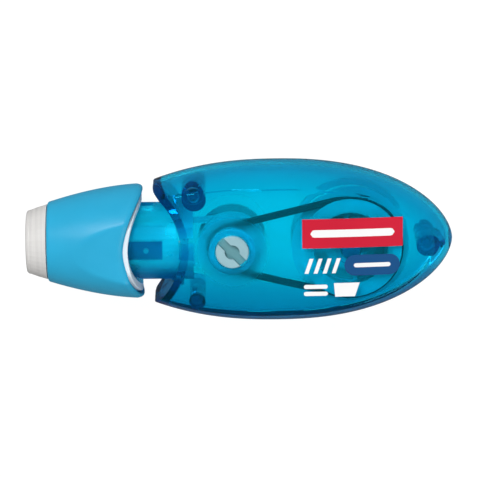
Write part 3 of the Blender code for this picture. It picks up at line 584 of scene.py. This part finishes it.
def case_plastic():
    """Clear blue case with painted shade round the mouth wall, towards the outline and along one side;
    frosted over the take-up hub.
    """
    nodes = clear_plastic("case_blue", CASE_TINT, CASE_ABSORBS, CASE_ROUGHNESS, CASE_CLARITY)
    # Painted shade on the mouth wall, where it is seen edge on.
    from_mouth = nodes.distance((MOUTH_CENTRE_X, 0.0, 0.0), ACROSS_PLAN)
    wall_end = MOUTH_RADIUS + MOUTH_WALL
    starts = nodes.fade(from_mouth, MOUTH_RADIUS - 0.3 * MM, MOUTH_RADIUS - 0.05 * MM, 0.0, 1.0)
    ends = nodes.fade(from_mouth, wall_end - 0.1 * MM, wall_end + 0.3 * MM, 1.0, 0.0)
    colour = nodes.tinted(nodes.colour, nodes.both(starts, ends), MOUTH_SHADE)

    # How far out a point lies in the case's outline, 0 in the middle and 1 at the edge.
    out = nodes.distance((CASE_WIDEST_X, 0.0, 0.0), (1.0 / OVAL_HALF_LENGTH, 1.0 / CASE_RADIUS, 0.0))
    # Painted shade: darker towards the outline, where the walls are seen at a slant.
    colour = nodes.tinted(colour, nodes.fade(out, 0.6, 1.02, 0.0, 1.0), OUTLINE_SHADE)
    # Painted shade: darker towards the low side, away from the key light.
    side = nodes.along("Y")
    colour = nodes.tinted(colour, nodes.fade(side, -3.0 * MM, -16.0 * MM, 0.0, 1.0), LOW_SIDE_SHADE)

    # Painted shade: a dark, hazy band along the front shell's lower side, where less light is let
    # through.
    below = nodes.fade(side, -3.0 * MM, -8.0 * MM, 0.0, 1.0)
    band = nodes.both(below, nodes.fade(out, 0.86, 0.94, 0.0, 1.0))
    front = nodes.fade(nodes.along("Z"), AXIS_Z + 2 * MM, AXIS_Z + 6 * MM, 0.0, 1.0)
    band = nodes.both(band, front)
    colour = nodes.tinted(colour, band, BAND_SHADE)
    clarity = nodes.fade(band, 0.0, 1.0, CASE_CLARITY, BAND_CLARITY)
    nodes.join(clarity, nodes.shader.inputs["Transmission Weight"])
    nodes.join(colour, nodes.shader.inputs["Base Color"])

    from_hub = nodes.distance((TAKEUP_X, 0.0, 0.0), ACROSS_PLAN)
    frost = nodes.fade(from_hub, HUB_FROST_FULL, HUB_FROST_END, HUB_FROST, 0.0)
    nodes.join(nodes.both(nodes.rough, frost, "ADD"), nodes.shader.inputs["Roughness"])
    return nodes


def neck_plastic():
    """Denser clear blue with painted shade over the guide pocket on its front and back faces, a painted
    glint at the pip, and painted shade on its low side.
    """
    nodes = clear_plastic("neck_blue", NECK_TINT, NECK_ABSORBS, NECK_ROUGHNESS, NECK_CLARITY)
    across = nodes.add("ShaderNodeMath", operation="ABSOLUTE")
    nodes.join(nodes.along("Y"), across.inputs[0])
    beside = nodes.fade(across.outputs["Value"], 2.05 * MM, 2.4 * MM, 1.0, 0.0)
    behind = nodes.fade(nodes.along("X"), -17.9 * MM, -17.5 * MM, 1.0, 0.0)
    # Painted glint: the pocket's painted shade is lifted on a small dot at the pip.
    from_pip = nodes.distance((PIP_X, 0.0, 0.0), ACROSS_PLAN)
    pip_painted_glint = nodes.fade(from_pip, 0.45 * MM, 0.75 * MM, 0.35, 1.0)
    pocket = nodes.both(nodes.both(beside, behind), pip_painted_glint)
    colour = nodes.tinted(nodes.colour, pocket, POCKET_SHADE)
    # Painted shade: darker towards the low side.
    low_side = nodes.fade(nodes.along("Y"), -1.0 * MM, -9.0 * MM, 0.0, 1.0)
    colour = nodes.tinted(colour, low_side, NECK_LOW_SHADE)
    nodes.join(colour, nodes.shader.inputs["Base Color"])
    return nodes


def banded_nose():
    """Milky moulded plastic with faint rings along its length."""
    nodes = moulded("nose_frost", (0.80, 0.78, 0.76), 0.42, 0.03, 0.4, subsurface=0.25)
    rings = nodes.noise(1.0, 2.0, stretch=(900.0, 12.0, 12.0))
    nodes.join(
        nodes.ramp(rings, [(0.35, (0.64, 0.63, 0.62)), (0.65, (0.77, 0.755, 0.735))]),
        nodes.shader.inputs["Base Color"],
    )
    return nodes


def slotted_hub():
    """Frosted hub with painted shade on its slot floor, darker than its face."""
    nodes = moulded("hub_white", (0.30, 0.50, 0.56), 0.35, 0.05)
    mottle = two_tone(nodes, 300.0, 2.0, (0.28, 0.47, 0.53), (0.32, 0.53, 0.59))
    # Painted shade: darker on the slot floor, below the hub's face.
    painted_slot_shade = nodes.fade(nodes.along("Z"), HUB_TOP - 1.1 * MM, HUB_TOP - 0.5 * MM, 1.0, 0.0)
    nodes.join(nodes.tinted(mottle, painted_slot_shade, (0.42, 0.62, 0.62)), nodes.shader.inputs["Base Color"])
    return nodes


def pearly_sleeve():
    """Light blue plastic with a soft pearl sheen."""
    nodes = moulded("sleeve_blue", (0.022, 0.40, 0.66), 0.36, 0.05, 0.25, subsurface=0.1)
    shader = nodes.shader
    shader.inputs["Sheen Weight"].default_value = 0.06
    shader.inputs["Sheen Roughness"].default_value = 0.4
    shader.inputs["Sheen Tint"].default_value = (0.6, 0.85, 1.0, 1.0)
    return nodes


materials = {
    "case": case_plastic().material,
    "neck": neck_plastic().material,
    "sleeve": pearly_sleeve().material,
    "lining": moulded("lining_white", (0.74, 0.84, 0.92), 0.4, 0.03, subsurface=0.2).material,
    "nose": banded_nose().material,
    "spool": moulded("spool_frost", (0.17, 0.47, 0.55), 0.35, 0.05).material,
    "pulley": moulded("pulley_blue", (0.13, 0.46, 0.56), 0.3, 0.05).material,
    "core": moulded("core_white", (0.80, 0.83, 0.85), 0.4).material,
    "hub": slotted_hub().material,
    "tape": moulded("tape_white", (0.82, 0.82, 0.80), 0.6, 0.04).material,
    "ribbon": moulded("ribbon_clear", (0.50, 0.62, 0.68), 0.25, 0.08).material,
    "rubber": moulded("belt_rubber", (0.018, 0.014, 0.024), 0.6, 0.2, 0.2, 1500.0, 0.05).material,
    "tip": moulded("tip_white", (0.80, 0.82, 0.83), 0.35, 0.03).material,
    "red": moulded("print_red", (0.62, 0.016, 0.042), 0.45, 0.05, 0.08).material,
    "navy": moulded("print_navy", (0.010, 0.082, 0.24), 0.45, 0.05, 0.08).material,
    "white": moulded("print_white", (0.92, 0.92, 0.92), 0.45, 0.02, 0.08).material,
}


def finish(obj, material, body, *nodes, slot=None):
    """Gives a piece its material and its body, and hides the CAD nodes it stands for. slot is not used.
    """
    obj.data.materials.clear()
    obj.data.materials.append(materials[material])
    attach(obj, body)
    if nodes:
        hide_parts(*nodes)
    return obj


# --- Case shells ------------------------------------------------------------------------------

ANGLES = 161
STATIONS = 110
MOUTH_ROWS_INSIDE = 8
MOUTH_ROWS_OUTSIDE = 10

mouth_end = hollow_end(MOUTH_CENTRE_X, MOUTH_RADIUS, JAW_ROUND, case_radius)


def inner_mouth_end(y):
    reach = MOUTH_RADIUS + MOUTH_WALL
    return MOUTH_CENTRE_X + np.sqrt(np.clip(reach**2 - y**2, 0.0, None))


def section(panel, drop):
    """reach(x, angle) of the case surface, or of a surface a drop inside it."""

    def reach(x, angle):
        cosine = np.maximum(np.cos(angle), 0.001)
        tail = TAIL_X - drop
        squeeze = CASE_WIDEST_X + (np.clip(x, None, tail) - CASE_WIDEST_X) * np.where(
            x > CASE_WIDEST_X, (TAIL_X - CASE_WIDEST_X) / (tail - CASE_WIDEST_X), 1.0
        )
        side = case_radius(squeeze)
        side = side - drop * side / CASE_RADIUS
        radius = soft_min(side, panel(x, 0.0 * x, drop) / cosine, CREASE)
        radius = soft_min(side, panel(x, radius * np.sin(angle), drop) / cosine, CREASE)
        return np.clip(radius, 0.0, None)

    return reach


def stations(start, end):
    """x places from an end that varies with the angle to the tail, closer at the tail."""
    share = np.sin(0.5 * np.pi * np.linspace(0.0, 1.0, STATIONS))
    return [start + (end - start) * value for value in share]


def shell_body(name, panel, sign):
    """Half of the case as one closed body: outside, inside, and the wall round the mouth."""
    angle = np.linspace(-0.5 * np.pi, 0.5 * np.pi, ANGLES)
    outer = section(panel, 0.0)
    inner = section(panel, WALL)
    profile = []

    start = settle(mouth_end, outer, angle, JAW_X)
    edge = outer(start, angle)
    for x in stations(start + RIM, TAIL_X)[:-1]:
        profile.append((x, outer(x, angle)))
    profile.append((np.full_like(angle, TAIL_X), np.zeros_like(angle)))

    start_inside = settle(inner_mouth_end, inner, angle, JAW_X)
    tail_inside = TAIL_X - TAIL_WALL
    profile.append((np.full_like(angle, tail_inside), np.zeros_like(angle)))
    for x in reversed(stations(start_inside, tail_inside)[:-1]):
        profile.append((x, inner(x, angle)))

    hole = np.minimum(NECK_HOLE, NECK_HOLE_FLAT / np.maximum(np.cos(angle), 0.001))
    inner_edge = inner(start_inside, angle)
    for share in np.linspace(0.0, 1.0, MOUTH_ROWS_INSIDE)[1:]:
        radius = inner_edge + (hole - inner_edge) * share
        profile.append((inner_mouth_end(radius * np.sin(angle)), radius))
    for share in np.linspace(0.0, 1.0, MOUTH_ROWS_OUTSIDE)[:-1]:
        radius = hole + (edge - RIM - hole) * share
        profile.append((mouth_end(radius * np.sin(angle)), radius))
    profile.append((mouth_end((edge - RIM) * np.sin(angle)), edge - RIM))
    profile.append((start + 0.3 * RIM, edge - 0.3 * RIM))

    points = np.stack([np.stack([x, radius], axis=-1) for x, radius in profile], axis=1)
    rings = []
    for i, turn in enumerate(angle):
        x, radius = points[i, :, 0], points[i, :, 1]
        y = radius * math.sin(turn)
        z = AXIS_Z + sign * (radius * math.cos(turn) + SPLIT_GAP)
        rings.append(np.stack([x, y, z], axis=-1))
    return loft(name, rings, around=False, sharp=SHARP_SHELL)


def boss_tool(name, place, low, high):
    """A boss with a rib to the wall beside it, or at the tail to the wall behind it."""
    x, y, radius = place
    post = rod(name, radius, low, high, (x, y), 48)
    if y:
        reach = math.sqrt(float(case_radius(x)) ** 2 - (BOSS_REACH + WALL) ** 2)
        far = math.copysign(reach - WALL / 2, y)
        rib = block(name + "_rib", (x - RIB_HALF, min(y, far), low), (x + RIB_HALF, max(y, far), high))
    else:
        rib = block(name + "_rib", (x, -RIB_HALF, low), (TAIL_X - TAIL_RIB_END, RIB_HALF, high))
    return combine(post, rib, "UNION")


def build_shells():
    """Both halves of the case, with what is moulded on them."""
    front = shell_body("front_case", front_panel, 1)
    back = shell_body("back_case", back_panel, -1)
    supply = (SUPPLY_X, 0.0)
    takeup = (TAKEUP_X, 0.0)
    front_rise = []
    back_rise = []
    holes = []
    for i, place in enumerate(BOSSES):
        x, y, _ = place
        reach = BOSS_REACH if y else TAIL_BOSS_SHARE * BOSS_REACH
        front_rise.append(boss_tool(f"front_boss_{i}", place, AXIS_Z + 2 * SPLIT_GAP, AXIS_Z + reach))
        back_rise.append(boss_tool(f"back_boss_{i}", place, AXIS_Z - reach, AXIS_Z - 2 * SPLIT_GAP))
        back_rise.append(rod(f"pin_{i}", PIN_RADIUS, AXIS_Z - PIN_ROOT, AXIS_Z + PIN_TOP, (x, y), 40))
        low, high = AXIS_Z - PIN_HOLE_ROOT, AXIS_Z + PIN_HOLE_TOP
        holes.append(rod(f"hole_{i}", PIN_HOLE, low, high, (x, y), 40))
    front_rise.append(rod("socket", SOCKET_RADIUS, SOCKET_LOW, SOCKET_HIGH, supply))
    front_rise.append(turned("bezel", BEZEL_PROFILE, takeup, 96))
    holes.append(rod("socket_hole", SOCKET_HOLE_RADIUS, SOCKET_HOLE_LOW, SOCKET_HOLE_HIGH, supply))
    holes.append(rod("window", WINDOW_RADIUS, WINDOW_LOW, WINDOW_HIGH, takeup, 96))
    for name, (x, radius, top) in POSTS.items():
        back_rise.append(rod(name, radius, POST_ROOT, top, (x, 0.0)))
    combine(front, united(front_rise), "UNION")
    combine(front, united(holes), "DIFFERENCE")
    combine(back, united(back_rise), "UNION")
    return reshade(front, SHARP_SHELL), reshade(back, SHARP_SHELL)


front_case, back_case = build_shells()
finish(front_case, "case", "case", "front_shell", slot="case_blue")
finish(back_case, "case", "case", "back_shell", slot="case_blue")


# --- Sleeve, lining and nose ---------------------------------------------------------------------


def flat_section(radius_at, flat):
    """reach(x, angle) of a turned surface that is cut flat front and back."""

    def reach(x, angle):
        cosine = np.maximum(np.abs(np.cos(angle)), 0.001)
        return soft_min(radius_at(x), flat / cosine, SLEEVE_FLAT_CREASE)

    return reach


SLEEVE_STEPS = 240


def saddled(name, outer, inner, front, lip, end_at, rim):
    """A tube with a saddle-shaped back end.

    lip holds two lists of (x, radius): the front edge, and then the inside from its first x,
    where the bore ends, back to the front. rim is how far the outer edge of the back end is
    rounded, along and across the wall.
    """
    angle = np.linspace(0.0, 2 * np.pi, SLEEVE_STEPS, endpoint=False)
    end = end_at(angle)
    profile = []
    for x, radius in lip[0]:
        profile.append((np.full_like(angle, x), np.full_like(angle, radius)))
    along, across = rim
    for share in np.linspace(0.0, 1.0, 60):
        x = front + (end - along - front) * share
        profile.append((x, outer(x, angle)))
    edge_out = outer(end, angle)
    edge_in = inner(end, angle)
    for turn in np.radians((18, 36, 54, 72, 90)):
        profile.append((end - along * (1 - math.sin(turn)), edge_out - across * (1 - math.cos(turn))))
    for share in np.linspace(0.0, 1.0, 40):
        x = end + (lip[1][0][0] - end) * share
        profile.append((x, edge_in if share == 0.0 else inner(x, angle)))
    for x, radius in lip[1][1:]:
        profile.append((np.full_like(angle, x), np.full_like(angle, radius)))
    rings = []
    for i, turn in enumerate(angle):
        x = np.array([column[i] for column, _ in profile])
        radius = np.array([column[i] for _, column in profile])
        rings.append(on_axis(x, radius, turn))
    return loft(name, rings)


def build_sleeve():
    outer = flat_section(sleeve_radius, SLEEVE_FLAT)
    inner = flat_section(lambda x: sleeve_radius(x) - SLEEVE_WALL, SLEEVE_FLAT - SLEEVE_FLAT_WALL)
    end = saddle(SADDLE_DEEPEST_X, SADDLE_DEPTH)
    edge = SLEEVE_EDGE
    start_radius = float(sleeve_radius(SLEEVE_FRONT_X))
    lip_back = SLEEVE_FRONT_X + SLEEVE_LIP
    front_edge = [
        (SLEEVE_FRONT_X, start_radius - edge),
        (SLEEVE_FRONT_X + 0.3 * edge, start_radius - 0.3 * edge),
    ]
    bore_edge = [
        (lip_back, 0.0),
        (lip_back, SLEEVE_LIP_BORE),
        (SLEEVE_FRONT_X + SLEEVE_LIP_ROUND, SLEEVE_LIP_BORE),
        (SLEEVE_FRONT_X, SLEEVE_LIP_BORE + SLEEVE_LIP_ROUND),
    ]
    front = SLEEVE_FRONT_X + edge
    sleeve = saddled("sleeve_shell", outer, inner, front, (front_edge, bore_edge), end, SLEEVE_RIM)
    finish(sleeve, "sleeve", "twist_sleeve", "twist_sleeve", slot="sleeve_blue")


def build_lining():
    def radius_at(x):
        share = np.clip((x - LINING_FRONT_X) / LINING_TAPER, 0.0, 1.0)
        swell = np.sin(0.5 * np.pi * share)
        return LINING_FRONT_RADIUS + (LINING_RADIUS - LINING_FRONT_RADIUS) * swell

    outer = flat_section(radius_at, SLEEVE_FLAT - SLEEVE_FLAT_WALL - LINING_GAP)

    def inner(x, angle):
        return np.full_like(angle, LINING_BORE)

    end = saddle(LINING_DEEPEST_X, LINING_DEPTH)
    lip = ([], [(LINING_FRONT_X, 0.0)])
    lining = saddled("sleeve_liner", outer, inner, LINING_FRONT_X + 0.1 * MM, lip, end, LINING_RIM)
    finish(lining, "lining", "twist_sleeve", "sleeve_lining", slot="lining_white")


build_sleeve()
build_lining()


# --- Carried-over CAD nodes ----------------------------------------------------------------------

NODE_MATERIALS = {
    "neck_barrel": "neck",
    "nose_guard": "nose",
    "tip_carrier": "tip",
    "applicator_tip": "tip",
    "supply_spool": "spool",
    "spool_cover": "spool",
    "tape_core": "core",
    "tape_roll": "tape",
    "supply_pulley": "pulley",
    "takeup_spool": "hub",
    "takeup_roll": "ribbon",
    "takeup_pulley": "pulley",
    "drive_belt": "rubber",
    "coated_tape_run": "tape",
    "bare_ribbon_run": "ribbon",
}
for node, material in NODE_MATERIALS.items():
    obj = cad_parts[node]
    obj.data.materials.clear()
    obj.data.materials.append(materials[material])


# --- Print on the front panel ----------------------------------------------------------------------

PRINT_LIFT = 0.02 * MM
PRINT_THICK = 0.04 * MM
PRINT_STEP = 0.06 * MM
PRINT_SLICES = 40

# Each mark as (left, right, low, high), in millimetres.
RED_PANEL = (14.7, 38.0, 0.9, 7.9)
RED_BAR = (16.6, 36.1, 3.5, 5.3)
NAVY_PILL = (24.4, 37.4, -5.9, -0.9)
NAVY_BAR = (26.6, 35.2, -3.9, -2.9)
HATCH_STROKE = (15.2, 16.1, -5.2, -1.6)
HATCH_LEAN = 1.2
HATCH_PITCH = 2.1
DASH_UPPER = (15.0, 20.6, -8.9, -7.9)
DASH_LOWER = (15.0, 20.6, -10.6, -9.6)
TAPE_MARK = ((22.3, -10.9), (26.9, -10.9), (28.0, -7.6), (22.0, -7.6))  # corners


def printed(name, corners, material, layer=0):
    """A thin convex patch of ink that follows the crowned panel. corners are (x, y)."""
    corners = [(x * MM, y * MM) for x, y in corners]
    xs = [x for x, _ in corners]
    rings = []
    inset = 0.01 * MM  # keeps the first and last slice from being a point
    for x in np.linspace(min(xs) + inset, max(xs) - inset, PRINT_SLICES + 1):
        crossings = []
        for (x0, y0), (x1, y1) in zip(corners, corners[1:] + corners[:1]):
            if min(x0, x1) <= x <= max(x0, x1) and x0 != x1:
                crossings.append(y0 + (y1 - y0) * (x - x0) / (x1 - x0))
        y_low, y_high = min(crossings), max(crossings)
        low = AXIS_Z + float(crown(x)) + SPLIT_GAP + PRINT_LIFT + layer * PRINT_STEP
        high = low + PRINT_THICK
        rings.append([(x, y_low, low), (x, y_high, low), (x, y_high, high), (x, y_low, high)])
    finish(loft(name, rings, around=False, sharp=SHARP_SHELL), material, "case")


def upright(left, right, low, high):
    return [(left, low), (right, low), (right, high), (left, high)]


def rounded(left, right, low, high, steps=8):
    """A bar with half-round ends, as (x, y) corners."""
    radius = (high - low) / 2
    corners = []
    for centre, start in ((right - radius, -90.0), (left + radius, 90.0)):
        for i in range(steps + 1):
            turn = math.radians(start + 180.0 * i / steps)
            corners.append((centre + radius * math.cos(turn), low + radius + radius * math.sin(turn)))
    return corners


def slanted(left, right, low, high, lean):
    """A bar whose top is moved by lean along X."""
    return [(left, low), (right, low), (right + lean, high), (left + lean, high)]


def build_print():
    """Plain marks in the places of the real print."""
    printed("print_red_panel", upright(*RED_PANEL), "red")
    printed("print_red_bar", rounded(*RED_BAR), "white", 1)
    printed("print_navy_pill", rounded(*NAVY_PILL), "navy")
    printed("print_navy_bar", rounded(*NAVY_BAR), "white", 1)
    left, right, low, high = HATCH_STROKE
    for i in range(4):
        shift = HATCH_PITCH * i
        stroke = slanted(left + shift, right + shift, low, high, HATCH_LEAN)
        printed(f"print_hatch_{i}", stroke, "white")
    printed("print_dash_upper", rounded(*DASH_UPPER), "white")
    printed("print_dash_lower", rounded(*DASH_LOWER), "white")
    printed("print_tape_mark", list(TAPE_MARK), "white")


build_print()


# --- Floor, light and camera ------------------------------------------------------------------------

FLOOR_GLOW = 0.93
FLOOR_BOUNCE = 0.42
FLOOR_DROP = 0.2 * MM
BACKDROP_GLOW = 0.97
HORIZON_LIGHT = 0.22
ZENITH_LIGHT = 0.42
LIGHT_SIZE = 0.5
LIGHT_TARGET = (0.0, 0.0, 0.01)
KEY_PLACE = (-0.25, 0.6, 0.75)
KEY_POWER = 7.0
FILL_PLACE = (0.45, -0.55, 0.7)
FILL_POWER = 2.6
CAMERA_TILT = math.radians(16.5)
CAMERA_ROLL = math.radians(0.70)
CAMERA_DISTANCE = 0.746
CAMERA_RISE = 0.18 * MM
LENS = 240.0
SENSOR = 36.0
BOUNCES = 32


def build_floor():
    """A plain floor that looks white, but lights the roller only a little from below."""
    shape = bmesh.new()
    bmesh.ops.create_grid(shape, x_segments=1, y_segments=1, size=1.5)
    floor = mesh_object("floor", shape)
    floor.location.z = -FLOOR_DROP
    nodes = Nodes("floor_white")
    shader = nodes.shader
    shader.inputs["Base Color"].default_value = (0.15, 0.15, 0.15, 1.0)
    shader.inputs["Roughness"].default_value = 0.9
    shader.inputs["Specular IOR Level"].default_value = 0.0
    shader.inputs["Emission Color"].default_value = (1.0, 1.0, 1.0, 1.0)
    light_path = nodes.add("ShaderNodeLightPath")
    seen = nodes.both(
        light_path.outputs["Is Camera Ray"], light_path.outputs["Is Transmission Ray"], "MAXIMUM"
    )
    bounced = nodes.fade(light_path.outputs["Is Diffuse Ray"], 0.0, 1.0, 0.0, FLOOR_BOUNCE)
    glow = nodes.both(nodes.fade(seen, 0.0, 1.0, 0.0, FLOOR_GLOW), bounced, "MAXIMUM")
    nodes.join(glow, shader.inputs["Emission Strength"])
    floor.data.materials.append(nodes.material)


def area_light(name, place, power):
    light = bpy.data.lights.new(name, "AREA")
    light.shape = "DISK"
    light.size = LIGHT_SIZE
    light.energy = power
    obj = bpy.data.objects.new(name, light)
    obj.location = place
    aim = Vector(LIGHT_TARGET) - Vector(place)
    obj.rotation_euler = aim.to_track_quat("-Z", "Y").to_euler()
    bpy.context.scene.collection.objects.link(obj)


def build_world():
    """Soft light from overhead that fades to a dim horizon, seen directly as a pale backdrop."""
    world = bpy.data.worlds.new("studio")
    world.use_nodes = True
    tree = world.node_tree
    background = tree.nodes["Background"]
    background.inputs["Color"].default_value = (1.0, 1.0, 1.0, 1.0)
    place = tree.nodes.new("ShaderNodeTexCoord")
    split = tree.nodes.new("ShaderNodeSeparateXYZ")
    fade = tree.nodes.new("ShaderNodeMapRange")
    fade.interpolation_type = "SMOOTHSTEP"
    fade.inputs["From Min"].default_value = 0.0
    fade.inputs["From Max"].default_value = 0.85
    fade.inputs["To Min"].default_value = HORIZON_LIGHT
    fade.inputs["To Max"].default_value = ZENITH_LIGHT
    tree.links.new(place.outputs["Generated"], split.inputs["Vector"])
    tree.links.new(split.outputs["Z"], fade.inputs["Value"])
    light_path = tree.nodes.new("ShaderNodeLightPath")
    seen = tree.nodes.new("ShaderNodeMath")
    seen.operation = "MAXIMUM"
    tree.links.new(light_path.outputs["Is Camera Ray"], seen.inputs[0])
    tree.links.new(light_path.outputs["Is Transmission Ray"], seen.inputs[1])
    pale = tree.nodes.new("ShaderNodeMapRange")
    pale.inputs["To Max"].default_value = BACKDROP_GLOW
    tree.links.new(seen.outputs["Value"], pale.inputs["Value"])
    strength = tree.nodes.new("ShaderNodeMath")
    strength.operation = "MAXIMUM"
    tree.links.new(fade.outputs["Result"], strength.inputs[0])
    tree.links.new(pale.outputs["Result"], strength.inputs[1])
    tree.links.new(strength.outputs["Value"], background.inputs["Strength"])
    bpy.context.scene.world = world


def build_camera():
    """A long lens over the front panel, tilted down from the far side and rolled a little."""
    data = bpy.data.cameras.new("camera")
    data.lens = LENS
    data.sensor_width = SENSOR
    data.clip_end = 20.0
    camera = bpy.data.objects.new("camera", data)
    away = Vector((0.0, math.sin(CAMERA_TILT), math.cos(CAMERA_TILT)))
    level = Vector((0.0, math.cos(CAMERA_TILT), -math.sin(CAMERA_TILT)))
    right = Vector((math.cos(CAMERA_ROLL), 0.0, 0.0)) - level * math.sin(CAMERA_ROLL)
    up = Vector((math.sin(CAMERA_ROLL), 0.0, 0.0)) + level * math.cos(CAMERA_ROLL)
    target = Vector((0.0, 0.0, AXIS_Z)) + up * CAMERA_RISE
    matrix = Matrix((right, up, away)).transposed().to_4x4()
    matrix.translation = target + away * CAMERA_DISTANCE
    camera.matrix_world = matrix
    bpy.context.scene.collection.objects.link(camera)
    bpy.context.scene.camera = camera


def build_render():
    """Plain colours, and enough bounces for light to pass through every clear wall."""
    scene = bpy.context.scene
    scene.view_settings.view_transform = "Standard"
    cycles = scene.cycles
    cycles.max_bounces = BOUNCES
    cycles.transmission_bounces = BOUNCES
    cycles.transparent_max_bounces = BOUNCES


build_floor()
build_world()
area_light("key", KEY_PLACE, KEY_POWER)
area_light("fill", FILL_PLACE, FILL_POWER)
build_camera()
build_render()
